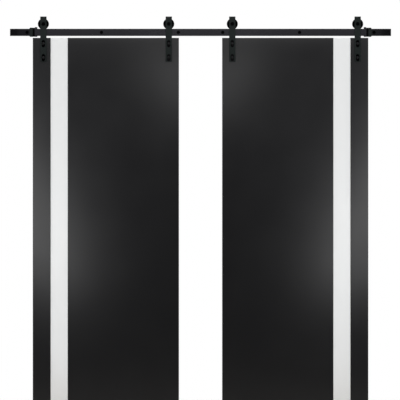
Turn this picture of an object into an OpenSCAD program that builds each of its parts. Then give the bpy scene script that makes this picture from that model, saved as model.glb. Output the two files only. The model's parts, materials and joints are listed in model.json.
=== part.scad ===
// Double barn door: two slabs with glass strips on strap hangers, running on one flat rail.
// Millimetres. X runs along the rail, Y towards the wall, Z up.
// The origin is on the wall plane, at mid height of the rail, half way between the doors.

/* [Doors] */
// Width of one door slab
door_w = 813; // [760:1:920]
// Height of one door slab
door_h = 2032; // [1900:1:2440]
// Thickness of one door slab
door_t = 40; // [36:0.5:45]
// Space between the two doors as they hang
door_gap = 240.4; // [160:0.2:400]
// Width of the narrow stile outside the glass
stile_w = 99; // [90:0.5:130]
// Width of glass in sight between the stile and the wide panel
glass_w = 95.5; // [60:0.5:160]
// Thickness of the glass
glass_t = 6; // [5:0.5:10]
// Chamfer on the edges of the glass
glass_arris = 1; // [0.5:0.25:2]
// Depth that the glass and its seal go into the stile and the panel
glass_bite = 12; // [8:0.5:15]
// Distance from the ends of the glass to the ends of the slab
glass_inset = 1; // [0.5:0.5:4]
// Wall of the rubber seal round the long edges of the glass
seal_t = 1; // [0.6:0.1:2]
// Radius of the eased long edges of the slab
arris_r = 2; // [0.5:0.5:4]
// Width of the guide groove in the bottom edge of the wide panel
guide_w = 8; // [6:0.5:12]
// Depth of the guide groove
guide_d = 16; // [10:1:25]
// Uncut length between the guide groove and the glass side of the panel
guide_land = 40; // [25:1:100]

/* [Rail] */
// Height of the rail
rail_h = 40; // [34:1:50]
// Thickness of the rail
rail_t = 6; // [5:0.5:8]
// Radius of the rail's rolled edges
rail_edge_r = 1.5; // [0.5:0.25:2.25]
// Length of rail past each stop
rail_overhang = 108.5; // [60:0.5:200]
// Clear height between the lower edge of the rail and the top of the door
door_drop = 10.6; // [9:0.2:20]
// Space between the back of the door and the wall
wall_gap = 13.5; // [12:0.5:30]
// Space between the wall bolts' heads and the straps that pass them
strap_clear = 1.5; // [1:0.1:4]

/* [Wall bolts] */
// Distance of the inner wall bolts from the centre
lag_inner_x = 123.5; // [90:0.5:180]
// Distance of the middle wall bolts from the centre
lag_middle_x = 551; // [420:1:640]
// Distance of the outer wall bolts from the stops
lag_past_stop = 13.5; // [13:0.5:40]
// Radius of the smooth shank
lag_r = 5; // [4:0.25:6]
// Radius of the threaded part that goes into the wall
lag_thread_r = 4.5; // [3.5:0.25:5.5]
// Length of the threaded part before its tip
lag_thread_l = 50; // [40:1:90]
// Length of the pointed tip
lag_tip_l = 10; // [6:1:14]
// Radius of the tip's blunt end
lag_tip_r = 1; // [0.5:0.25:2]
// Width across flats of the hex head
lag_head_af = 17; // [15:0.5:18]
// Height of the hex head
lag_head_h = 6.4; // [5:0.2:8]
// Radius of the washer
lag_washer_r = 10; // [9.5:0.5:12]
// Thickness of the washer
lag_washer_t = 1.6; // [1:0.1:2.5]
// Radius of the spacer sleeve between rail and wall
spacer_r = 11; // [9:0.5:13]

/* [Strap hangers] */
// Width of the strap
strap_w = 35.2; // [28:0.2:44]
// Thickness of the strap
strap_t = 6; // [4:0.5:8]
// Radius of the strap's rolled edges
strap_edge_r = 1; // [0.5:0.25:1.75]
// Inner radius of the bends over the wheel
strap_bend_r = 9; // [5:0.5:10]
// Corner radius at the lower end of the strap
strap_corner_r = 2; // [0.5:0.5:6]
// Length of strap on the face of the door
strap_on_door = 133.5; // [133:0.5:180]
// Distance of the upper door bolt from the top of the door
upper_bolt_drop = 32; // [24:0.5:45]
// Distance of the lower door bolt from the top of the door
lower_bolt_drop = 110; // [90:0.5:110]
// Length of the upright slots for the door bolts
bolt_slot_l = 30; // [22:1:34]
// Distance of the outer strap from the outer edge of the door
outer_strap_in = 59; // [45:0.5:60]
// Distance of the inner strap from the inner edge of the door
inner_strap_in = 56.5; // [45:0.5:120]
// Space between the top of the wheel and the strap over it
strap_over = 4.8; // [3.5:0.1:10]
// Length of the strap's back leg below the axle
back_leg_drop = 17; // [14:0.5:22]

/* [Door bolts] */
// Radius of the door bolts
bolt_r = 4; // [3:0.25:5]
// Radius of the domed head
bolt_head_r = 8; // [7.25:0.25:8.5]
// Height of the domed head
bolt_head_h = 4.6; // [3:0.1:6]
// Height of the straight rim under the dome
bolt_rim_h = 0.8; // [0.5:0.1:1.5]
// Width of the oblong plates under the heads
bolt_plate_w = 18; // [17:0.5:24]
// Length of the oblong plates, which cover the slots
bolt_plate_l = 40; // [38:1:44]
// Thickness of the oblong plates
bolt_plate_t = 2; // [1.5:0.25:2.75]
// Distance from the end of the bolt's square neck to the door
bolt_neck_back = 1; // [0.5:0.25:2]
// Radius of the washers under the nuts
bolt_washer_r = 11; // [9:0.5:12]
// Thickness of the washers
bolt_washer_t = 1.6; // [1:0.1:2]
// Width across flats of the nut
bolt_nut_af = 13; // [12:0.5:15]
// Height of the nut
bolt_nut_h = 5; // [4:0.1:6.5]
// Length of thread past the nut
bolt_end = 1.5; // [0.5:0.1:2.5]

/* [Wheels] */
// Radius of the tread that runs on the rail
tread_r = 26.5; // [25:0.25:32]
// Height of the flanges above the tread
flange_h = 4.25; // [2.5:0.25:5.5]
// Slope of the flanges' inner faces, measured along the axle
flange_slope = 1.5; // [0.5:0.25:2]
// Side play between rail and flanges
flange_play = 1; // [0.5:0.1:1.5]
// Width of the rim over both flanges
rim_w = 20; // [18:0.5:21]
// Width of the web between hub and rim
web_w = 15; // [12:0.5:16]
// Wall of the hub round the bearing
hub_wall = 4; // [3:0.5:5]
// Depth of the rim under the tread
rim_wall = 4; // [3:0.5:5]
// Chamfer on the edges of hub and rim
wheel_chamfer = 1.2; // [0.5:0.1:1.5]
// Space between the hub and the strap's legs
hub_gap = 1.5; // [1:0.1:2.5]

/* [Axles] */
// Radius of the axle bolt
axle_r = 6; // [5:0.25:6.5]
// Width across flats of the axle bolt's head and nut
axle_af = 19; // [17:0.5:22]
// Height of the axle bolt's head
axle_head_h = 7.5; // [6:0.1:9]
// Height of the lock nut's hex part
axle_nut_h = 7; // [5:0.1:9]
// Height of the lock nut's round collar
axle_nut_collar_h = 3; // [2:0.1:4]
// Radius of the lock nut's round collar
axle_nut_collar_r = 8.2; // [7.5:0.1:8.4]
// Length of thread past the lock nut
axle_end = 2; // [0.5:0.1:3]
// Outer radius of the bearing
bearing_r = 14; // [12.5:0.25:15]
// Width of the bearing
bearing_w = 12; // [8:0.5:14]
// Wall of the bearing's rings and of the axle collars
ring_wall = 2.5; // [1.5:0.1:2.7]
// Depth of the bearing's shields below the rings
shield_d = 0.6; // [0.3:0.1:1]

/* [Stops] */
// Free travel between the outer wheel and the stop
stop_gap = 8.5; // [3:0.1:20]
// Width of the steel clamp along the rail
clamp_w = 17.2; // [14:0.2:30]
// Width of the rubber buffer along the rail
buffer_w = 11.8; // [6:0.2:16]
// Width of the strike block along the rail
strike_w = 14.4; // [8:0.2:20]
// Height of the clamp above the rail
clamp_above = 6.2; // [5:0.1:9]
// Height of the strike block above the rail
strike_above = 9.3; // [8:0.1:12]
// Depth of the stop below the rail
stop_below = 4.8; // [4:0.1:7]
// Wall of the stop in front of the rail
stop_front = 5; // [3:0.5:7]
// Wall of the stop behind the rail
stop_back = 7; // [5:0.5:9]
// Corner radius of the stop's blocks
stop_corner_r = 2.5; // [1:0.25:3.5]
// Chamfer on the outer end of the clamp
clamp_chamfer = 3.5; // [1:0.25:4]
// Step of the buffer below the faces of the blocks
buffer_step = 0.5; // [0.3:0.1:1.5]
// Radius of the set screw in the clamp
screw_r = 3; // [2:0.25:4]
// Width across flats of the set screw's socket
screw_af = 3; // [2:0.25:3.5]
// Depth of the set screw's socket
screw_socket_d = 3.5; // [2:0.25:4]

/* [Clearances] */
// Clearance between tread and rail
tread_clear = 0.3; // [0.2:0.05:0.5]
// Radial clearance of the bearing on the axle
run_clear = 0.05; // [0.02:0.01:0.1]
// Radial clearance of fixed bolts in their threads and seats
seat_clear = 0.05; // [0.02:0.01:0.1]
// Radial clearance of bolts in drilled holes
hole_clear = 0.3; // [0.2:0.05:0.6]
// Side play of the bearing between the axle collars
side_play = 0.2; // [0.1:0.05:0.4]
// Clearance of the stop's blocks round the rail
rail_clear = 0.15; // [0.1:0.05:0.4]

/* [Hidden] */
$fn = 64;
cut = 1;

// Heights
rail_top_z = rail_h / 2;
door_top_z = -(rail_top_z + door_drop);
door_foot_z = door_top_z - door_h;
wheel_r = tread_r + flange_h;
axle_z = rail_top_z + tread_clear + tread_r;
strap_top_z = axle_z + wheel_r + strap_over + strap_t;
strap_end_z = door_top_z - strap_on_door;
back_leg_z = axle_z - back_leg_drop;

// Depths, negative in front of the wall
door_back_y = -wall_gap;
door_face_y = door_back_y - door_t;
door_mid_y = door_face_y + door_t / 2;
rail_face_y = door_face_y + strap_clear + lag_head_h + lag_washer_t;
rail_mid_y = rail_face_y + rail_t / 2;
spacer_l = -rail_face_y - rail_t;
leg_in = rail_mid_y - door_face_y;
leg_out = leg_in + strap_t;
strap_face_y = rail_mid_y - leg_out;

// Places along the rail, on the right hand side
door_in_x = door_gap / 2;
door_out_x = door_in_x + door_w;
panel_w = door_w - stile_w - glass_w;
glass_in_x = door_in_x + panel_w;
glass_out_x = glass_in_x + glass_w;
inner_strap_x = door_in_x + inner_strap_in;
outer_strap_x = door_out_x - outer_strap_in;
strike_top_z = rail_top_z + strike_above;
wheel_reach = sqrt(pow(wheel_r, 2) - pow(axle_z - strike_top_z, 2));
strike_x = outer_strap_x + wheel_reach + stop_gap;
buffer_x = strike_x + strike_w;
clamp_x = buffer_x + buffer_w;
stop_out_x = clamp_x + clamp_w;
rail_half = stop_out_x + rail_overhang;
lag_x = [lag_inner_x, lag_middle_x, stop_out_x + lag_past_stop];

// Glass, seal and hanger sizes that follow from the others
groove_w = glass_t + 2 * seal_t;
pane_w = glass_w + 2 * (glass_bite - seal_t);
pane_h = door_h - 2 * glass_inset;
hub_half = leg_in - hub_gap;
hub_r = bearing_r + hub_wall;
rim_r = tread_r - rim_wall;
collar_r = axle_r + ring_wall;
bolt_neck_w = 2 * bolt_r;
bolt_slot_w = bolt_neck_w + 2 * hole_clear;
bolt_drops = [upper_bolt_drop, lower_bolt_drop];
strap_places = [inner_strap_x, outer_strap_x];

door_black = "#1e1e1f";
steel_black = "#2b2c2e";
bolt_black = "#121213";
wheel_black = "#0a0a0a";
rubber_black = "#0d0d0d";
glass_pale = "#e6e7e6";
bearing_steel = "#8e9194";

// Radius of a hexagon's corners from its width across flats
function hex_r(af) = af / (2 * cos(30));

// Turns a shape drawn along +Z to face away from the wall
module to_front() rotate([90, 0, 0]) children();

// Turns a shape drawn along +Z to face the wall
module to_wall() rotate([-90, 0, 0]) children();

// Carries an outline drawn in Y and Z along X
module along_x(length) rotate([90, 0, 90]) linear_extrude(length) children();

// Flips a right hand piece to the left hand side
module left() mirror([1, 0, 0]) children();

// Outline of a bar with round corners, from the origin
module round_bar(w, h, r) {
    translate([r, 0]) square([w - 2 * r, h]);
    translate([0, r]) square([w, h - 2 * r]);
    for (x = [r, w - r], y = [r, h - r]) translate([x, y]) circle(r);
}

// Outline of a bar with its corners cut at 45 degrees, from the origin
module arrised_bar(w, h, c) {
    polygon([
        [c, 0], [w - c, 0], [w, c], [w, h - c],
        [w - c, h], [c, h], [0, h - c], [0, c]
    ]);
}

// Outline of an upright bar with half round ends, about the origin
module oblong(w, l) {
    straight = l - w;
    square([w, straight], center = true);
    for (end = [-1, 1]) translate([0, end * straight / 2]) circle(w / 2);
}

// Ring or washer from the origin up
module ring(outer, inner, h) {
    difference() {
        cylinder(r = outer, h = h);
        translate([0, 0, -cut]) cylinder(r = inner, h = h + 2 * cut);
    }
}

// Hexagon from the origin up, with its top corners turned off at 30 degrees
module hex_head(af, h) {
    drop = (hex_r(af) - af / 2) * tan(30);
    intersection() {
        cylinder(r = hex_r(af), h = h, $fn = 6);
        union() {
            cylinder(r = hex_r(af) + cut, h = h - drop);
            translate([0, 0, h - drop]) cylinder(r1 = hex_r(af), r2 = af / 2, h = drop);
        }
    }
}

// Smooth domed head from the origin up, on a straight rim
module dome_head() {
    cap_h = bolt_head_h - bolt_rim_h;
    dome_r = (pow(bolt_head_r, 2) + pow(cap_h, 2)) / (2 * cap_h);
    intersection() {
        cylinder(r = bolt_head_r, h = bolt_head_h);
        translate([0, 0, bolt_head_h - dome_r]) sphere(dome_r);
    }
}

// Flat bar with rolled edges, drilled for the wall bolts
module rail() {
    color(steel_black) difference() {
        translate([-rail_half, rail_face_y, -rail_top_z])
            along_x(2 * rail_half) round_bar(rail_t, rail_h, rail_edge_r);
        for (x = lag_x, side = [-1, 1])
            translate([side * x, rail_face_y - cut, 0])
                to_wall() cylinder(r = lag_r + hole_clear, h = rail_t + 2 * cut);
    }
}

// Sleeve that holds the rail off the wall
module spacer(place) {
    color(steel_black) translate([lag_x[place], -spacer_l, 0])
        to_wall() ring(spacer_r, lag_r + hole_clear, spacer_l);
}

// One wall bolt: head, smooth shank as far as the wall, thread and tip
module wall_bolt() {
    seat_y = rail_face_y - lag_washer_t;
    translate([0, seat_y, 0]) to_front() hex_head(lag_head_af, lag_head_h);
    translate([0, seat_y, 0]) to_wall() cylinder(r = lag_r, h = -seat_y);
    to_wall() cylinder(r = lag_thread_r, h = lag_thread_l);
    translate([0, lag_thread_l, 0])
        to_wall() cylinder(r1 = lag_thread_r, r2 = lag_tip_r, h = lag_tip_l);
}

module wall_bolts() {
    color(bolt_black) for (x = lag_x, side = [-1, 1]) translate([side * x, 0, 0]) wall_bolt();
}

module wall_washers() {
    color(bolt_black) for (x = lag_x, side = [-1, 1])
        translate([side * x, rail_face_y, 0])
            to_front() ring(lag_washer_r, lag_r + hole_clear, lag_washer_t);
}

// Outline in Y and Z of a collar that goes right round the rail
module collar_outline(above, step) {
    depth = stop_front + rail_t + stop_back - 2 * step;
    height = stop_below + rail_h + above - 2 * step;
    difference() {
        translate([rail_face_y - stop_front + step, -rail_top_z - stop_below + step])
            round_bar(depth, height, stop_corner_r);
        translate([rail_face_y - rail_clear, -rail_top_z - rail_clear])
            square([rail_t + 2 * rail_clear, rail_h + 2 * rail_clear]);
    }
}

// Front view of the clamp, with both corners cut off its outer end
module clamp_front() {
    height = stop_below + rail_h + clamp_above;
    polygon([
        [0, 0], [clamp_w - clamp_chamfer, 0], [clamp_w, clamp_chamfer],
        [clamp_w, height - clamp_chamfer], [clamp_w - clamp_chamfer, height], [0, height]
    ]);
}

// Steel collar on the rail, drilled from behind for its set screw
module stop_clamp() {
    depth = stop_front + rail_t + stop_back;
    color(steel_black) difference() {
        intersection() {
            translate([clamp_x, 0, 0]) along_x(clamp_w) collar_outline(clamp_above, 0);
            translate([clamp_x, rail_face_y - stop_front + depth + cut, -rail_top_z - stop_below])
                to_front() linear_extrude(depth + 2 * cut) clamp_front();
        }
        translate([clamp_x + clamp_w / 2, rail_face_y + rail_t, 0])
            to_wall() cylinder(r = screw_r + seat_clear, h = stop_back + cut);
    }
}

// Rubber collar between the clamp and the strike block
module stop_buffer() {
    color(rubber_black) translate([buffer_x, 0, 0])
        along_x(buffer_w) collar_outline(clamp_above, buffer_step);
}

// Block that the wheel runs up against
module stop_strike() {
    color(steel_black) translate([strike_x, 0, 0]) along_x(strike_w) collar_outline(strike_above, 0);
}

// Set screw from the rail's back face to the back of the clamp, with a hex socket
module stop_screw() {
    difference() {
        cylinder(r = screw_r, h = stop_back);
        translate([0, 0, stop_back - screw_socket_d])
            cylinder(r = hex_r(screw_af), h = screw_socket_d + cut, $fn = 6);
    }
}

module stop_screws() {
    color(bolt_black) for (side = [-1, 1])
        translate([side * (clamp_x + clamp_w / 2), rail_face_y + rail_t, 0]) to_wall() stop_screw();
}

// Round holes through a slab for the bolts of the strap at x
module slab_holes(x) {
    for (drop = bolt_drops)
        translate([x, door_face_y - cut, door_top_z - drop])
            to_wall() cylinder(r = bolt_r + hole_clear, h = door_t + 2 * cut);
}

// Full-height groove for the glass, drawn from x inwards
module glass_groove(x) {
    translate([x, door_mid_y - groove_w / 2, door_foot_z - cut])
        cube([glass_bite, groove_w, door_h + 2 * cut]);
}

// Slab between the glass and the meeting edge, grooved below for a floor guide
module wide_panel() {
    guide_l = panel_w - guide_land;
    color(door_black) difference() {
        translate([door_in_x, door_face_y, door_foot_z])
            linear_extrude(door_h) round_bar(panel_w, door_t, arris_r);
        glass_groove(glass_in_x - glass_bite);
        translate([door_in_x - cut, door_mid_y - guide_w / 2, door_foot_z - cut])
            cube([guide_l + cut, guide_w, guide_d + cut]);
        slab_holes(inner_strap_x);
    }
}

// Narrow slab outside the glass
module narrow_stile() {
    color(door_black) difference() {
        translate([glass_out_x, door_face_y, door_foot_z])
            linear_extrude(door_h) round_bar(stile_w, door_t, arris_r);
        glass_groove(glass_out_x);
        slab_holes(outer_strap_x);
    }
}

// Pane with all its edges arrised
module glass() {
    color(glass_pale)
        translate([glass_in_x - glass_bite + seal_t, door_mid_y - glass_t / 2, door_foot_z + glass_inset])
            intersection() {
                linear_extrude(pane_h) arrised_bar(pane_w, glass_t, glass_arris);
                along_x(pane_w) arrised_bar(glass_t, pane_h, glass_arris);
            }
}

// U section that fills a groove and takes the edge of the glass
module glass_seal() {
    difference() {
        square([glass_bite, groove_w]);
        translate([seal_t, seal_t]) square([glass_bite, glass_t]);
    }
}

module glass_seals() {
    color(rubber_black) translate([0, door_mid_y - groove_w / 2, door_foot_z + glass_inset]) {
        translate([glass_in_x - glass_bite, 0, 0]) linear_extrude(pane_h) glass_seal();
        translate([glass_out_x + glass_bite, 0, 0]) linear_extrude(pane_h) mirror([1, 0]) glass_seal();
    }
}

// Section of the strap's flat bar with rolled edges, width first
module strap_section() round_bar(strap_w, strap_t, strap_edge_r);

// Straight stretch of the strap's bar, drawn up from the origin
module strap_leg(length) linear_extrude(length) strap_section();

// Quarter bend of the strap's bar about X, from straight up at the angle given
module strap_bend(angle) {
    rotate([90, 0, 90]) rotate([0, 0, angle]) rotate_extrude(angle = 90)
        translate([strap_bend_r, 0]) round_bar(strap_t, strap_w, strap_edge_r);
}

// Flat bar up the face of the door, over the wheel and down to the back end of the axle
module bent_bar() {
    bend_z = strap_top_z - strap_t - strap_bend_r;
    bend_y = leg_in - strap_bend_r;
    translate([0, -leg_out, strap_end_z]) strap_leg(bend_z - strap_end_z);
    translate([0, -bend_y, bend_z]) strap_bend(90);
    translate([0, bend_y, strap_top_z - strap_t]) to_front() strap_leg(2 * bend_y);
    translate([0, bend_y, bend_z]) strap_bend(0);
    translate([0, leg_in, back_leg_z]) strap_leg(bend_z - back_leg_z);
}

// Upright slot through the strap for one door bolt, about the bolt's axis
module bolt_slot() {
    to_wall() translate([0, 0, -cut])
        linear_extrude(strap_t + 2 * cut) oblong(bolt_slot_w, bolt_slot_l);
}

// Strap hanger with rounded lower corners, drilled for its axle and slotted for its door bolts
module strap(x) {
    outline_h = strap_top_z - strap_end_z + 2 * strap_corner_r;
    color(steel_black) difference() {
        translate([x - strap_w / 2, rail_mid_y, 0]) intersection() {
            bent_bar();
            translate([0, leg_out + cut, strap_end_z])
                to_front() linear_extrude(2 * (leg_out + cut))
                    round_bar(strap_w, outline_h, strap_corner_r);
        }
        translate([x, strap_face_y - cut, axle_z])
            to_wall() cylinder(r = axle_r + hole_clear, h = 2 * (leg_out + cut));
        for (drop = bolt_drops) translate([x, strap_face_y, door_top_z - drop]) bolt_slot();
    }
}

// Bolt through both legs of the strap, on which the wheel turns
module axle(x) {
    axle_l = 2 * leg_out + axle_nut_h + axle_nut_collar_h + axle_end;
    color(bolt_black) translate([x, strap_face_y, axle_z]) {
        to_front() hex_head(axle_af, axle_head_h);
        to_wall() cylinder(r = axle_r, h = axle_l);
    }
}

// Lock nut: a hexagon with a round collar behind it
module lock_nut() {
    difference() {
        union() {
            hex_head(axle_af, axle_nut_h);
            cylinder(r = axle_nut_collar_r, h = axle_nut_h + axle_nut_collar_h);
        }
        translate([0, 0, -cut])
            cylinder(r = axle_r + seat_clear, h = axle_nut_h + axle_nut_collar_h + 2 * cut);
    }
}

module axle_nuts() {
    color(bolt_black) for (x = strap_places)
        translate([x, rail_mid_y + leg_out, axle_z]) to_wall() lock_nut();
}

// Two collars on each axle, between the bearing and the strap's legs
module axle_collars() {
    collar_l = leg_in - bearing_w / 2 - side_play;
    color(bolt_black) for (x = strap_places) translate([x, rail_mid_y, axle_z]) {
        translate([0, -leg_in, 0]) to_wall() ring(collar_r, axle_r + seat_clear, collar_l);
        translate([0, leg_in, 0]) to_front() ring(collar_r, axle_r + seat_clear, collar_l);
    }
}

// Domed bolt with a square neck through plate and slot, and a shank through the slab past its nut
module door_bolt() {
    grip = bolt_plate_t + strap_t + door_t + bolt_washer_t;
    neck_l = bolt_plate_t + strap_t - bolt_neck_back;
    to_front() dome_head();
    translate([-bolt_neck_w / 2, 0, -bolt_neck_w / 2]) cube([bolt_neck_w, neck_l, bolt_neck_w]);
    to_wall() cylinder(r = bolt_r, h = grip + bolt_nut_h + bolt_end);
}

module at_door_bolts(y) {
    for (x = strap_places, drop = bolt_drops) translate([x, y, door_top_z - drop]) children();
}

module door_bolts() {
    color(bolt_black) at_door_bolts(strap_face_y - bolt_plate_t) door_bolt();
}

// Oblong plate that covers a slot and spreads the bolt's load, with a square hole for its neck
module bolt_plate() {
    hole_l = bolt_plate_t + 2 * cut;
    to_front() difference() {
        linear_extrude(bolt_plate_t) oblong(bolt_plate_w, bolt_plate_l);
        translate([0, 0, bolt_plate_t / 2]) cube([bolt_slot_w, bolt_slot_w, hole_l], center = true);
    }
}

module bolt_plates() {
    color(bolt_black) at_door_bolts(strap_face_y) bolt_plate();
}

module door_washers() {
    color(bolt_black) at_door_bolts(door_back_y)
        to_wall() ring(bolt_washer_r, bolt_r + hole_clear, bolt_washer_t);
}

module door_nuts() {
    color(bolt_black) at_door_bolts(door_back_y + bolt_washer_t) to_wall() difference() {
        hex_head(bolt_nut_af, bolt_nut_h);
        translate([0, 0, -cut]) cylinder(r = bolt_r + seat_clear, h = bolt_nut_h + 2 * cut);
    }
}

// Half of the wheel's section, from the middle of the groove to the bore
function wheel_half(side) = [
    [tread_r, side * (rail_t / 2 + flange_play)],
    [wheel_r, side * (rail_t / 2 + flange_play + flange_slope)],
    [wheel_r, side * (rim_w / 2 - wheel_chamfer)],
    [wheel_r - wheel_chamfer, side * rim_w / 2],
    [rim_r + wheel_chamfer, side * rim_w / 2],
    [rim_r, side * web_w / 2],
    [hub_r + wheel_chamfer, side * web_w / 2],
    [hub_r, side * (hub_half - wheel_chamfer)],
    [hub_r - wheel_chamfer, side * hub_half],
    [bearing_r + seat_clear, side * hub_half]
];

function backwards(points) = [for (i = [len(points) - 1 : -1 : 0]) points[i]];

// Wheel with a groove for the rail and a bore for its bearing
module wheel(x) {
    color(wheel_black) translate([x, rail_mid_y, axle_z])
        to_wall() rotate_extrude() polygon(concat(wheel_half(1), backwards(wheel_half(-1))));
}

// Half of the bearing's section, with the shield set back between the two rings
function bearing_half(side) = [
    [bearing_r, side * bearing_w / 2],
    [bearing_r - ring_wall, side * bearing_w / 2],
    [bearing_r - ring_wall, side * (bearing_w / 2 - shield_d)],
    [axle_r + ring_wall, side * (bearing_w / 2 - shield_d)],
    [axle_r + ring_wall, side * bearing_w / 2],
    [axle_r + run_clear, side * bearing_w / 2]
];

module bearing(x) {
    color(bearing_steel) translate([x, rail_mid_y, axle_z])
        to_wall() rotate_extrude() polygon(concat(bearing_half(1), backwards(bearing_half(-1))));
}

rail();
left() spacer(0);  // left_inner_spacer
left() spacer(1);  // left_middle_spacer
left() spacer(2);  // left_outer_spacer
spacer(0);  // right_inner_spacer
spacer(1);  // right_middle_spacer
spacer(2);  // right_outer_spacer
wall_bolts();
wall_washers();
left() stop_clamp();  // left_stop_clamp
left() stop_buffer();  // left_stop_buffer
left() stop_strike();  // left_stop_strike
stop_clamp();  // right_stop_clamp
stop_buffer();  // right_stop_buffer
stop_strike();  // right_stop_strike
stop_screws();
left() wide_panel();  // left_wide_panel
left() narrow_stile();  // left_narrow_stile
left() glass();  // left_glass
left() glass_seals();  // left_glass_seals
left() strap(inner_strap_x);  // left_inner_strap
left() strap(outer_strap_x);  // left_outer_strap
left() axle(inner_strap_x);  // left_inner_axle
left() axle(outer_strap_x);  // left_outer_axle
left() axle_nuts();  // left_axle_nuts
left() axle_collars();  // left_axle_collars
left() door_bolts();  // left_door_bolts
left() bolt_plates();  // left_bolt_plates
left() door_washers();  // left_door_washers
left() door_nuts();  // left_door_nuts
left() wheel(inner_strap_x);  // left_inner_wheel
left() wheel(outer_strap_x);  // left_outer_wheel
left() bearing(inner_strap_x);  // left_inner_bearing
left() bearing(outer_strap_x);  // left_outer_bearing
wide_panel();  // right_wide_panel
narrow_stile();  // right_narrow_stile
glass();  // right_glass
glass_seals();  // right_glass_seals
strap(inner_strap_x);  // right_inner_strap
strap(outer_strap_x);  // right_outer_strap
axle(inner_strap_x);  // right_inner_axle
axle(outer_strap_x);  // right_outer_axle
axle_nuts();  // right_axle_nuts
axle_collars();  // right_axle_collars
door_bolts();  // right_door_bolts
bolt_plates();  // right_bolt_plates
door_washers();  // right_door_washers
door_nuts();  // right_door_nuts
wheel(inner_strap_x);  // right_inner_wheel
wheel(outer_strap_x);  // right_outer_wheel
bearing(inner_strap_x);  // right_inner_bearing
bearing(outer_strap_x);  // right_outer_bearing
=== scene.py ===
# %% [markdown]
# Double barn door, dressed for a studio picture.
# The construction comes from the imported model: every slab, strap, wheel and bolt is already there at its
# real size. This script gives those solids their finishes, adds the threads that are too fine for the
# construction, and sets up a camera and soft lamps like the ones the doors were photographed with.

# %% load the frame
import json
import math

import bpy
import numpy as np
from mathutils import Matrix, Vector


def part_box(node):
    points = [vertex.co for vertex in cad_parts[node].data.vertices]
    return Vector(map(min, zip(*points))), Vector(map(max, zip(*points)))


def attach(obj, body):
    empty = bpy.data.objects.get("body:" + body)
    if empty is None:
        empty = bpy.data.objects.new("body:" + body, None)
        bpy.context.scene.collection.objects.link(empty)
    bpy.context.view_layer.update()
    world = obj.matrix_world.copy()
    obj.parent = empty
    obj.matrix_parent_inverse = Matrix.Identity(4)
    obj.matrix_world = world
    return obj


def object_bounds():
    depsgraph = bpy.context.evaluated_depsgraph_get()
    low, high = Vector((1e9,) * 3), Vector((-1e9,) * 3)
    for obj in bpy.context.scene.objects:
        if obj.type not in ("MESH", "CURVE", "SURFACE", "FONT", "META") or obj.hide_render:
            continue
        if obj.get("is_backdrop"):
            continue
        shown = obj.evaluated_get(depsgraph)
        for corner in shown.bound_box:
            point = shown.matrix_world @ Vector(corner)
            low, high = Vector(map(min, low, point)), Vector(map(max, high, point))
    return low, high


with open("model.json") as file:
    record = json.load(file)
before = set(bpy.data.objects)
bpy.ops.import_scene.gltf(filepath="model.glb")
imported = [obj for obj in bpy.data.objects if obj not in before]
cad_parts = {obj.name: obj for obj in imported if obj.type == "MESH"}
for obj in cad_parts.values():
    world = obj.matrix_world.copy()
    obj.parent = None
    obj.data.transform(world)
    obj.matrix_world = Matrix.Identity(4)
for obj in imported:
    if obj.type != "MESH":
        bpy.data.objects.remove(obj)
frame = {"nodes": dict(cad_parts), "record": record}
CAD_BOX = [list(corner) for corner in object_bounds()]
NODES = frame["nodes"]
MM = 0.001
print("box in metres:", [[round(v, 4) for v in corner] for corner in CAD_BOX])

# %% [markdown]
# The picture is taken straight on, from so far away that nothing in it converges: both edges of a slab
# look equally wide. A very long lens does the same as an orthographic camera here and still lets the
# other views step round the object. One pixel of the 400 pixel frame is 5.563 mm on the doors, and the
# middle of the rail is seen at RAIL_PIXEL, counted from the picture's top left corner.

# %% camera
MM_PER_PIXEL = 5.563
FRAME_PIXELS = 400
RAIL_PIXEL = (200.53, 32.36)
CAMERA_DISTANCE = 95.0
SENSOR_MM = 36.0

door_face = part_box("left_wide_panel")[0][1]
frame_width = MM_PER_PIXEL * FRAME_PIXELS * MM
middle = FRAME_PIXELS / 2
camera_data = bpy.data.cameras.new("long_lens")
camera_data.sensor_width = SENSOR_MM
camera_data.lens = SENSOR_MM * CAMERA_DISTANCE / frame_width
camera_data.clip_end = 2 * CAMERA_DISTANCE
camera = bpy.data.objects.new("long_lens", camera_data)
camera.location = (
    (middle - RAIL_PIXEL[0]) * MM_PER_PIXEL * MM,
    door_face - CAMERA_DISTANCE,
    (RAIL_PIXEL[1] - middle) * MM_PER_PIXEL * MM,
)
camera.rotation_euler = (math.pi / 2, 0, 0)
bpy.context.scene.collection.objects.link(camera)
bpy.context.scene.camera = camera
bpy.context.scene.view_settings.view_transform = "Standard"
print(f"frame {frame_width:.3f} m wide, lens {camera_data.lens:.0f} mm")


# %% [markdown]
# Colours are written as the hex values that a screen shows. Blender's shaders want linear light, so one
# function turns them round. A second function adds any node to a node tree, with its settings and its
# links, which keeps each finish down to a few readable lines.

# %% two helpers
def linear(hex_colour):
    """An sRGB hex value as linear red, green and blue with full alpha."""
    srgb = np.array([int(hex_colour[i : i + 2], 16) for i in (1, 3, 5)]) / 255
    curve = np.where(srgb <= 0.04045, srgb / 12.92, ((srgb + 0.055) / 1.055) ** 2.4)
    return (*[float(v) for v in curve], 1.0)


def add(tree, kind, inputs=None, **settings):
    """Adds a node: settings are its properties, inputs are values or the sockets that feed it."""
    node = tree.nodes.new(kind)
    for name, value in settings.items():
        setattr(node, name, value)
    for name, value in (inputs or {}).items():
        if isinstance(value, bpy.types.NodeSocket):
            tree.links.new(value, node.inputs[name])
        else:
            node.inputs[name].default_value = value
    return node


print("satin black in linear light:", [round(v, 4) for v in linear("#18181a")])


# %% [markdown]
# Every finish starts the same way: an empty material, its shader and Object coordinates in metres. Most
# then ask for the same things: a noise whose features have a real size, a colour that drifts between two
# tones, a roughness that drifts between two values, and a relief that tips the surface a little. Pictures
# of real samples could give all that, but noise has no seams and holds at any scale.

# %% building blocks of a finish
NOISE_LOW = 0.3
NOISE_HIGH = 0.7


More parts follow.
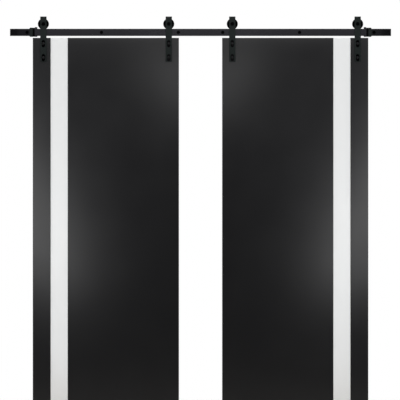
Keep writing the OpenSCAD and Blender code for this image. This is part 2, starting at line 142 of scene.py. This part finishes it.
def start_finish(name, **sockets):
    """A new material with a Principled shader; returns the material, its tree, shader and coordinates."""
    material = bpy.data.materials.new(name)
    material.use_nodes = True
    tree = material.node_tree
    tree.nodes.clear()
    values = {key.replace("_", " "): value for key, value in sockets.items()}
    shader = add(tree, "ShaderNodeBsdfPrincipled", values)
    add(tree, "ShaderNodeOutputMaterial", {"Surface": shader.outputs["BSDF"]})
    place = add(tree, "ShaderNodeTexCoord").outputs["Object"]
    return material, tree, shader, place


def per_metre(feature_mm):
    """Scale of a pattern whose features are about this many millimetres across."""
    return 1 / (feature_mm * MM)


def noise(tree, place, feature_mm, detail):
    """Soft noise between 0 and 1, mostly from NOISE_LOW to NOISE_HIGH."""
    inputs = {"Vector": place, "Scale": per_metre(feature_mm), "Detail": detail}
    return add(tree, "ShaderNodeTexNoise", inputs).outputs["Fac"]


def drift_tone(tree, shader, pattern, dark, light):
    """Base colour that drifts with a pattern from one hex tone to another."""
    inputs = {"Factor": pattern, "A": linear(dark), "B": linear(light)}
    tone = add(tree, "ShaderNodeMix", inputs, data_type="RGBA")
    tree.links.new(tone.outputs["Result"], shader.inputs["Base Color"])


def drift_roughness(tree, shader, pattern, low, high):
    """Roughness that follows a pattern from low to high, held at both ends of the noise's usual range."""
    inputs = {
        "Value": pattern,
        "From Min": NOISE_LOW,
        "From Max": NOISE_HIGH,
        "To Min": low,
        "To Max": high,
    }
    rough = add(tree, "ShaderNodeMapRange", inputs)
    tree.links.new(rough.outputs["Result"], shader.inputs["Roughness"])


def relief(tree, shader, pattern, strength, depth_mm):
    """Bump that reads the pattern as a height of so many millimetres."""
    inputs = {"Height": pattern, "Strength": strength, "Distance": depth_mm * MM}
    bump = add(tree, "ShaderNodeBump", inputs)
    tree.links.new(bump.outputs["Normal"], shader.inputs["Normal"])


print("a 7 mm pattern repeats", round(per_metre(7)), "times in a metre")


# %% [markdown]
# The slabs are engineered wood wrapped in a satin black film. Film pressed over a board is even in
# colour but never quite flat: a fine orange peel, and broad patches that are a little more or less
# matt, break up its reflections. The real peel is about a millimetre, far below one pixel, so it is
# drawn 7 mm wide, which is as coarse as it has to be to soften the glow of the lamps.

# %% satin black film on the slabs
def satin_film():
    """Black film, satin in broad patches, with an orange peel."""
    material, tree, shader, place = start_finish("satin_black_film_on_board", IOR=1.5)
    patch = noise(tree, place, feature_mm=160, detail=3.0)
    peel = noise(tree, place, feature_mm=7, detail=2.0)
    drift_tone(tree, shader, patch, "#18181a", "#1b1b1d")
    drift_roughness(tree, shader, patch, 0.38, 0.42)
    relief(tree, shader, peel, strength=0.05, depth_mm=0.2)
    return material


SATIN_FILM = satin_film()
print("made", SATIN_FILM.name)


# %% [markdown]
# Rail, straps, stops and spacers are hot-rolled flat steel with a black powder coat. The powder melts
# into tiny pebbles, which scatter what the coat reflects. On the rail the coat has flowed out almost
# smooth, so its face takes a soft bluish sheen; on the straps it is a dry, matt coat with a trace of
# green. One function makes both, from their tones and their roughness. The pebbles are about 0.4 mm;
# they are drawn at 3 mm to show at all.

# %% powder coat
def powder_coat(name, dark, light, matt, **sockets):
    """Pebbled coat between two tones, of a roughness about matt."""
    material, tree, shader, place = start_finish(name, IOR=1.5, **sockets)
    cloud = noise(tree, place, feature_mm=45, detail=2.0)
    pebble = noise(tree, place, feature_mm=3, detail=4.0)
    drift_tone(tree, shader, cloud, dark, light)
    drift_roughness(tree, shader, pebble, matt - 0.05, matt + 0.05)
    relief(tree, shader, pebble, strength=0.25, depth_mm=0.2)
    return material


RAIL_COAT = powder_coat(
    "smooth_powder_coated_steel", "#060608", "#0a0a0c", 0.22, Specular_Tint=linear("#e9e7f4")
)
STRAP_COAT = powder_coat(
    "matt_powder_coated_steel", "#191f1e", "#1e2423", 0.7, Specular_IOR_Level=0.18
)
print("made", RAIL_COAT.name, "and", STRAP_COAT.name)


# %% [markdown]
# Bolts, nuts and plates are steel blackened in a hot salt bath. The oxide is thin and the metal under it
# still mirrors, but very darkly, with cloudy patches. A black paint would hide the metal, so this is a
# metal with a nearly black colour instead. Three shades are needed: most fasteners are dry and look dead
# black, the plates under the bolt heads were blasted first and are a little greyer, and the domed door
# bolts are oiled and keep more of a gloss, so they show their lamps as a dark grey.

# %% black oxide on the fasteners
def black_oxide(name, dark, light):
    """Dark metal with a cloudy gloss between two tones."""
    material, tree, shader, place = start_finish(name, Metallic=1.0)
    cloud = noise(tree, place, feature_mm=6, detail=3.0)
    drift_tone(tree, shader, cloud, dark, light)
    drift_roughness(tree, shader, cloud, 0.26, 0.36)
    return material


DRY_OXIDE = black_oxide("black_oxide_steel", "#060607", "#0a0a0b")
BLASTED_OXIDE = black_oxide("blasted_black_oxide_steel", "#0c0c0d", "#111112")
OILED_OXIDE = black_oxide("oiled_black_oxide_steel", "#202021", "#2a2a2b")
print("made", DRY_OXIDE.name, BLASTED_OXIDE.name, "and", OILED_OXIDE.name)


# %% [markdown]
# The wheels are turned from black nylon. The lathe leaves fine rings on the faces, which the eye reads
# as a faint sheen; the stock itself is deep black. Cut into the mesh, such rings would take many faces,
# so they are a wave in the finish. Wheels turn about Y, so the wave runs along the distance from the
# wheel's own axle, which a Mapping node puts at the middle of the pattern. The rings are drawn 1.5 mm
# apart to show at all. Blender's wave runs through 20 radians in one unit of its scale, so the scale is
# worked out from that.

# %% turned nylon
RING_MM = 1.5
WAVE_FACTOR = 20 / (2 * math.pi)


def turned_nylon(node):
    """Deep black with rings about the wheel's own axle."""
    material, tree, shader, place = start_finish(
        f"turned_nylon_{node}", IOR=1.53, Specular_IOR_Level=0.02
    )
    shader.inputs["Base Color"].default_value = linear("#020202")
    centre = np.mean(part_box(node), axis=0)
    about_axle = add(tree, "ShaderNodeMapping", {"Vector": place, "Location": (-centre).tolist()})
    inputs = {
        "Vector": about_axle.outputs["Vector"],
        "Scale": per_metre(RING_MM) / WAVE_FACTOR,
        "Distortion": 0.3,
    }
    rings = add(tree, "ShaderNodeTexWave", inputs, wave_type="RINGS", rings_direction="Y").outputs["Fac"]
    drift_roughness(tree, shader, rings, 0.54, 0.62)
    relief(tree, shader, rings, strength=0.2, depth_mm=0.1)
    return material


WHEEL_FINISH = {name: turned_nylon(name) for name in NODES if name.endswith("_wheel")}
print("made", len(WHEEL_FINISH), "wheel finishes")


# %% [markdown]
# Buffers and glass seals are moulded black rubber. Rubber swallows nearly all light: it has hardly any
# gloss, and only a dusty bloom in soft patches tells it from a hole. One noise between two blacks is that
# bloom.

# %% moulded rubber
def moulded_rubber():
    """Matt rubber with a bloom."""
    material, tree, shader, place = start_finish(
        "moulded_black_rubber", Roughness=0.85, IOR=1.52, Specular_IOR_Level=0.03
    )
    drift_tone(tree, shader, noise(tree, place, feature_mm=12, detail=4.0), "#030303", "#070707")
    return material


RUBBER = moulded_rubber()
print("made", RUBBER.name)


# %% [markdown]
# The bearings are bright ground steel, seen only deep inside the hangers. Grinding leaves hair lines, so
# a noise that is squeezed along the axle varies the roughness.

# %% ground bearing steel
HAIR_SQUEEZE = (1.0, 12.0, 1.0)


def ground_steel():
    """Bright metal with hair lines round the axle."""
    material, tree, shader, place = start_finish("ground_bearing_steel", Metallic=1.0)
    shader.inputs["Base Color"].default_value = linear("#a9acaf")
    squeezed = add(tree, "ShaderNodeMapping", {"Vector": place, "Scale": HAIR_SQUEEZE}).outputs["Vector"]
    drift_roughness(tree, shader, noise(tree, squeezed, feature_mm=4, detail=3.0), 0.22, 0.38)
    return material


BEARING_STEEL = ground_steel()
print("made", BEARING_STEEL.name)


# %% [markdown]
# The strips are satin glass: float glass etched with acid until it scatters light. It lets nearly all of
# the white behind it through, a little greyed, and nothing behind it keeps an edge. A half clear white
# paint would look alike from the front, but only rough glass also bends the light at the pane's edges.
# Etching is not quite even, so the roughness drifts slowly over the pane.

# %% satin glass
def satin_glass():
    """Clear in colour, rough all through."""
    material, tree, shader, place = start_finish(
        "acid_etched_satin_glass", IOR=1.5, Transmission_Weight=1.0
    )
    shader.inputs["Base Color"].default_value = linear("#eaebeb")
    drift_roughness(tree, shader, noise(tree, place, feature_mm=90, detail=2.0), 0.40, 0.46)
    return material


SATIN_GLASS = satin_glass()
print("made", SATIN_GLASS.name)

# %% [markdown]
# Each CAD solid keeps its mesh and takes a finish in its material slot. The record already says which
# solids share a slot. A few differ from the others of their slot and have a finish of their own: the
# rail, the wall washers and strike blocks that are coated like it, the oiled door bolts, their blasted
# plates and the wheels.

# %% finishes onto the solids
SLOT_FINISH = {
    "door_black": SATIN_FILM,
    "steel_black": STRAP_COAT,
    "bolt_black": DRY_OXIDE,
    "rubber_black": RUBBER,
    "bearing_steel": BEARING_STEEL,
    "glass_pale": SATIN_GLASS,
}
OWN_FINISH = {
    "rail": RAIL_COAT,
    "left_stop_strike": RAIL_COAT,
    "right_stop_strike": RAIL_COAT,
    "left_door_bolts": OILED_OXIDE,
    "right_door_bolts": OILED_OXIDE,
    "left_bolt_plates": BLASTED_OXIDE,
    "right_bolt_plates": BLASTED_OXIDE,
    "wall_washers": RAIL_COAT,
    **WHEEL_FINISH,
}

for part in frame["record"]["subparts"]:
    name = part["node"]
    finish = OWN_FINISH.get(name) or SLOT_FINISH[part["material_slot"]]
    for material_slot in NODES[name].material_slots:
        material_slot.material = finish

# %% [markdown]
# The wall bolts carry a coarse wood thread on the length behind the mounting plane. A Screw modifier could
# wind one, but not thin it at its ends or lead it down a tip. So the thread is worked out as a grid: one
# parameter runs along the helix, the other round the ridge's small four-sided section. The ridge thins to
# almost nothing at both ends, follows the bolt down its tip and stops THREAD_END short of the point. The
# mounting plane is at depth zero.

# %% sizes of the thread
THREAD_PITCH = 4.2 * MM
THREAD_HEIGHT = 0.8 * MM
ROOT_SINK = 0.15 * MM
ROOT_SHARE = 0.32
CREST_SHARE = 0.06
THREAD_END = 3.3 * MM
THINNEST = 0.02
STEPS_PER_TURN = 28
TIP_LENGTH = 10 * MM
TIP_RADIUS = 1 * MM

bolt_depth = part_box("wall_bolts")[1][1]
core_radius = frame["record"]["mounts"][0]["dims"]["stud_r_mm"] * MM
thread_turns = (bolt_depth - THREAD_END) / THREAD_PITCH
print(f"{thread_turns:.1f} turns on a core of {core_radius / MM:.1f} mm")


# %% a helical ridge
def bolt_core(depth):
    """Radius of a wall bolt: even along the straight thread, then falling evenly to the tip."""
    down_tip = np.clip((depth - bolt_depth + TIP_LENGTH) / TIP_LENGTH, 0, 1)
    return core_radius + (TIP_RADIUS - core_radius) * down_tip


def helical_ridge(x):
    """Closed helical ridge about a line along Y at x, starting at the mounting plane.

    At helix angle a the ridge lies at depth pitch * a / 2 pi. Its section has two root points just
    inside the core radius and two crest points outside it by the height, which swells from almost
    nothing at both ends as a clipped ramp. Returns rows of four points.
    """
    angle = np.linspace(0, 2 * np.pi * thread_turns, int(thread_turns * STEPS_PER_TURN) + 1)
    depth = THREAD_PITCH * angle / (2 * np.pi)
    swell = np.clip(np.minimum(angle, angle[-1] - angle) / np.pi, THINNEST, 1)
    root = bolt_core(depth) - ROOT_SINK
    crest = bolt_core(depth) + THREAD_HEIGHT * swell
    half_root = ROOT_SHARE * THREAD_PITCH * swell
    half_crest = CREST_SHARE * THREAD_PITCH * swell
    reach = np.stack([root, crest, crest, root], axis=1)
    along = np.stack([-half_root, -half_crest, half_crest, half_root], axis=1)
    across = x + reach * np.cos(angle)[:, None]
    inwards = np.maximum(depth[:, None] + along, 0)
    upwards = reach * np.sin(angle)[:, None]
    return np.stack([across, inwards, upwards], axis=2)


def ribbon_faces(rows, columns):
    """Quads of a grid that closes on itself round its columns, with a flat cap at each end."""
    row, column = np.meshgrid(np.arange(rows - 1), np.arange(columns), indexing="ij")
    here = row * columns + column
    beside = row * columns + (column + 1) % columns
    quads = np.stack([here, here + columns, beside + columns, beside], axis=-1).reshape(-1, 4)
    first = np.arange(columns)
    last = (rows - 1) * columns + first[::-1]
    return np.vstack([quads, first, last])


SPACERS = [name for name in NODES if name.endswith("_spacer")]
bolt_x = [float(np.mean(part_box(name), axis=0)[0]) for name in SPACERS]
print("bolts at", sorted(round(x, 4) for x in bolt_x))

# %% [markdown]
# Six such ridges, one at each spacer, make one object. It rides with the rail and shares the bolts' slot.

# %% threads on the wall bolts
ridges = [helical_ridge(x) for x in bolt_x]
rows, columns = ridges[0].shape[:2]
one_ridge = ribbon_faces(rows, columns)
thread_points = np.vstack([ridge.reshape(-1, 3) for ridge in ridges])
thread_faces = np.vstack([one_ridge + i * rows * columns for i in range(len(ridges))])
thread_mesh = bpy.data.meshes.new("wall_bolt_threads")
thread_mesh.from_pydata(thread_points.tolist(), [], thread_faces.tolist())
thread_mesh.materials.append(DRY_OXIDE)
threads = bpy.data.objects.new("wall_bolt_threads", thread_mesh)
bpy.context.scene.collection.objects.link(threads)
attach(threads, "track")
print("threads:", len(thread_mesh.polygons), "faces on", len(ridges), "bolts")

# %% [markdown]
# The floor is a pale oval just under the slabs. A plain square would show its edges; this one keeps the
# doors' soft shadow and melts into the white of the studio towards its rim. Its middle lies FLOOR_BACK
# behind the mounting plane, where the studio is bright, so that little of it lies in the dim front.

# %% floor
FLOOR_GAP = 10 * MM
FLOOR_BACK = 0.6
FLOOR_REACH = (2.6, 1.8)
FADE_FROM = 0.54
RIM_POINTS = 96

floor_z = CAD_BOX[0][2] - FLOOR_GAP
turn = np.linspace(0, 2 * np.pi, RIM_POINTS, endpoint=False)
level = np.full(RIM_POINTS, floor_z)
across = FLOOR_REACH[0] * np.cos(turn)
backwards = FLOOR_BACK + FLOOR_REACH[1] * np.sin(turn)
rim = np.stack([across, backwards, level], axis=1)
floor_mesh = bpy.data.meshes.new("studio_floor")
floor_mesh.from_pydata(rim.tolist(), [], [list(range(RIM_POINTS))])
floor = bpy.data.objects.new("studio_floor", floor_mesh)
bpy.context.scene.collection.objects.link(floor)
floor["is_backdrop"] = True
print(f"floor at z {floor_z:.4f} m")

# %% [markdown]
# The floor's finish is a pale diffuse one that turns clear towards the rim. A Mapping node shrinks the
# oval to a circle of radius one about its middle, so the length of a place says how near the rim it is.
# The fade starts at FADE_FROM of the way.

# %% pale floor that fades
floor_finish = bpy.data.materials.new("pale_studio_floor")
floor_finish.use_nodes = True
tree = floor_finish.node_tree
tree.nodes.clear()
place = add(tree, "ShaderNodeTexCoord").outputs["Object"]
inputs = {"Vector": place, "Location": (0, FLOOR_BACK, floor_z), "Scale": (*FLOOR_REACH, 1)}
in_circle = add(tree, "ShaderNodeMapping", inputs, vector_type="TEXTURE").outputs["Vector"]
reach = add(tree, "ShaderNodeVectorMath", {0: in_circle}, operation="LENGTH")
fade = add(
    tree,
    "ShaderNodeMapRange",
    {"Value": reach.outputs["Value"], "From Min": FADE_FROM},
    interpolation_type="SMOOTHSTEP",
)
pale = add(tree, "ShaderNodeBsdfDiffuse", {"Color": linear("#f6f1e9")})
clear = add(tree, "ShaderNodeBsdfTransparent")
faded = add(
    tree,
    "ShaderNodeMixShader",
    {0: fade.outputs["Result"], 1: pale.outputs["BSDF"], 2: clear.outputs["BSDF"]},
)
add(tree, "ShaderNodeOutputMaterial", {"Surface": faded.outputs["Shader"]})
floor_mesh.materials.append(floor_finish)
print("made", floor_finish.name)

# %% [markdown]
# The studio: white behind the doors and above them, dim on the camera's side. Black satin shows whatever
# stands in front of it, so that side is kept dark and only soft lamps glow in the film. A picture of a
# studio could light the scene, but a ramp is plainer: how far a direction turns to the white side decides
# its strength. What the camera and the glass see past the object is plain white of strength one, and so
# is what shiny pieces mirror on the white side.

# %% world
WHITE_BEHIND = 0.9
DIM_IN_FRONT = 0.07
WHITE_SIDE = (0, 0.75, 0.66)
DIM_UP_TO = -0.3
WHITE_FROM = 0.6
PLAIN_WHITE = linear("#ffffff")

world = bpy.data.worlds.new("white_studio")
world.use_nodes = True
bpy.context.scene.world = world
tree = world.node_tree
tree.nodes.clear()
direction = add(tree, "ShaderNodeTexCoord").outputs["Generated"]
facing = add(tree, "ShaderNodeVectorMath", {0: direction, 1: WHITE_SIDE}, operation="DOT_PRODUCT")
behind = add(
    tree,
    "ShaderNodeMapRange",
    {"Value": facing.outputs["Value"], "From Min": DIM_UP_TO, "From Max": WHITE_FROM},
    interpolation_type="SMOOTHSTEP",
).outputs["Result"]
inputs = {"Value": behind, "To Min": DIM_IN_FRONT, "To Max": WHITE_BEHIND}
strength = add(tree, "ShaderNodeMapRange", inputs).outputs["Result"]
ray = add(tree, "ShaderNodeLightPath").outputs
straight = {0: ray["Is Camera Ray"], 1: ray["Is Transmission Ray"]}
through = add(tree, "ShaderNodeMath", straight, operation="MAXIMUM")
mirrored = add(tree, "ShaderNodeMath", {0: ray["Is Glossy Ray"], 1: behind}, operation="MULTIPLY")
either = {0: through.outputs["Value"], 1: mirrored.outputs["Value"]}
seen = add(tree, "ShaderNodeMath", either, operation="MAXIMUM")
studio = add(tree, "ShaderNodeBackground", {"Strength": strength, "Color": PLAIN_WHITE})
white = add(tree, "ShaderNodeBackground", {"Strength": 1.0, "Color": PLAIN_WHITE})
both = add(
    tree,
    "ShaderNodeMixShader",
    {0: seen.outputs["Value"], 1: studio.outputs["Background"], 2: white.outputs["Background"]},
)
add(tree, "ShaderNodeOutputWorld", {"Surface": both.outputs["Shader"]})
print("world ready")


# %% [markdown]
# All lamps stand in front of the doors and look straight at them. How bright a lamp looks is given
# against white paper of strength one, so that the same number means the same glow at any size.

# %% a soft lamp
def soft_lamp(name, place, size, brightness, lean=0.0, shape="ELLIPSE"):
    """Area lamp at place that looks along Y, with its top leaning towards +X by an angle in radians.

    A lamp that looks the same from all sides sends out pi times its brightness per square metre.
    """
    lamp = bpy.data.lights.new(name, "AREA")
    lamp.shape = shape
    lamp.size, lamp.size_y = size
    filled = math.pi / 4 if shape == "ELLIPSE" else 1.0
    lamp.energy = brightness * math.pi * filled * size[0] * size[1]
    holder = bpy.data.objects.new(name, lamp)
    holder.location = place
    holder.rotation_euler = (math.pi / 2, lean, 0)
    holder.visible_camera = False
    bpy.context.scene.collection.objects.link(holder)
    return holder


rail_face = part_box("rail")[0][1]
door_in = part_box("right_wide_panel")[0][0]
door_out, _, door_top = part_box("right_narrow_stile")[1]
print(f"doors from {door_in:.4f} to {door_out:.4f} m, top at {door_top:.4f} m")

# %% [markdown]
# Two lamps glow in each door, mirrored about the middle: a long one outside the stile, which leans
# outwards, and a small one over the meeting edge near the top. A strip high above brightens the top of
# the slabs. Two thin ones close in front of the rail, one longer than the other, light its middle and
# let it darken in two steps towards its ends.

# %% lamps
GLOW = 3.2
LAMP_DISTANCE = 0.763
STILE_LAMP = {"out": 0.387, "drop": 0.567, "size": (0.50, 2.08), "lean": 0.62}
EDGE_LAMP = {"out": 0.028, "drop": 0.207, "size": (0.14, 0.43), "lean": 0.74}
TOP_STRIP = {"distance": 2.0, "rise": 1.04, "size": (1.9, 0.62), "brightness": 3.9}
RAIL_STRIP = {"distance": 0.15, "rise": 0.02, "size": (1.87, 0.09), "brightness": 0.43}
END_STRIP = {"distance": 0.16, "rise": 0.02, "size": (2.03, 0.09), "brightness": 0.22}

for side, hand in ((-1, "left"), (1, "right")):
    for kind, edge, lamp in (("stile", door_out, STILE_LAMP), ("edge", door_in, EDGE_LAMP)):
        place = (side * (edge + lamp["out"]), door_face - LAMP_DISTANCE, door_top - lamp["drop"])
        soft_lamp(f"{hand}_{kind}_lamp", place, lamp["size"], GLOW, lean=side * lamp["lean"])
strips = (
    ("top", door_face, door_top, TOP_STRIP),
    ("rail", rail_face, 0, RAIL_STRIP),
    ("rail_end", rail_face, 0, END_STRIP),
)
for kind, face, height, lamp in strips:
    place = (0, face - lamp["distance"], height + lamp["rise"])
    soft_lamp(f"{kind}_strip", place, lamp["size"], lamp["brightness"], shape="RECTANGLE")

# %% [markdown]
# Last, the box of the dressed model is measured, and its largest difference from the CAD model's box is
# printed.

# %% sizes and finish
seen_box = [list(corner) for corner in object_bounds()]
growth = np.abs(np.array(seen_box) - np.array(CAD_BOX)).max()
print(f"the dressed model differs from the CAD box by {growth / MM:.2f} mm")
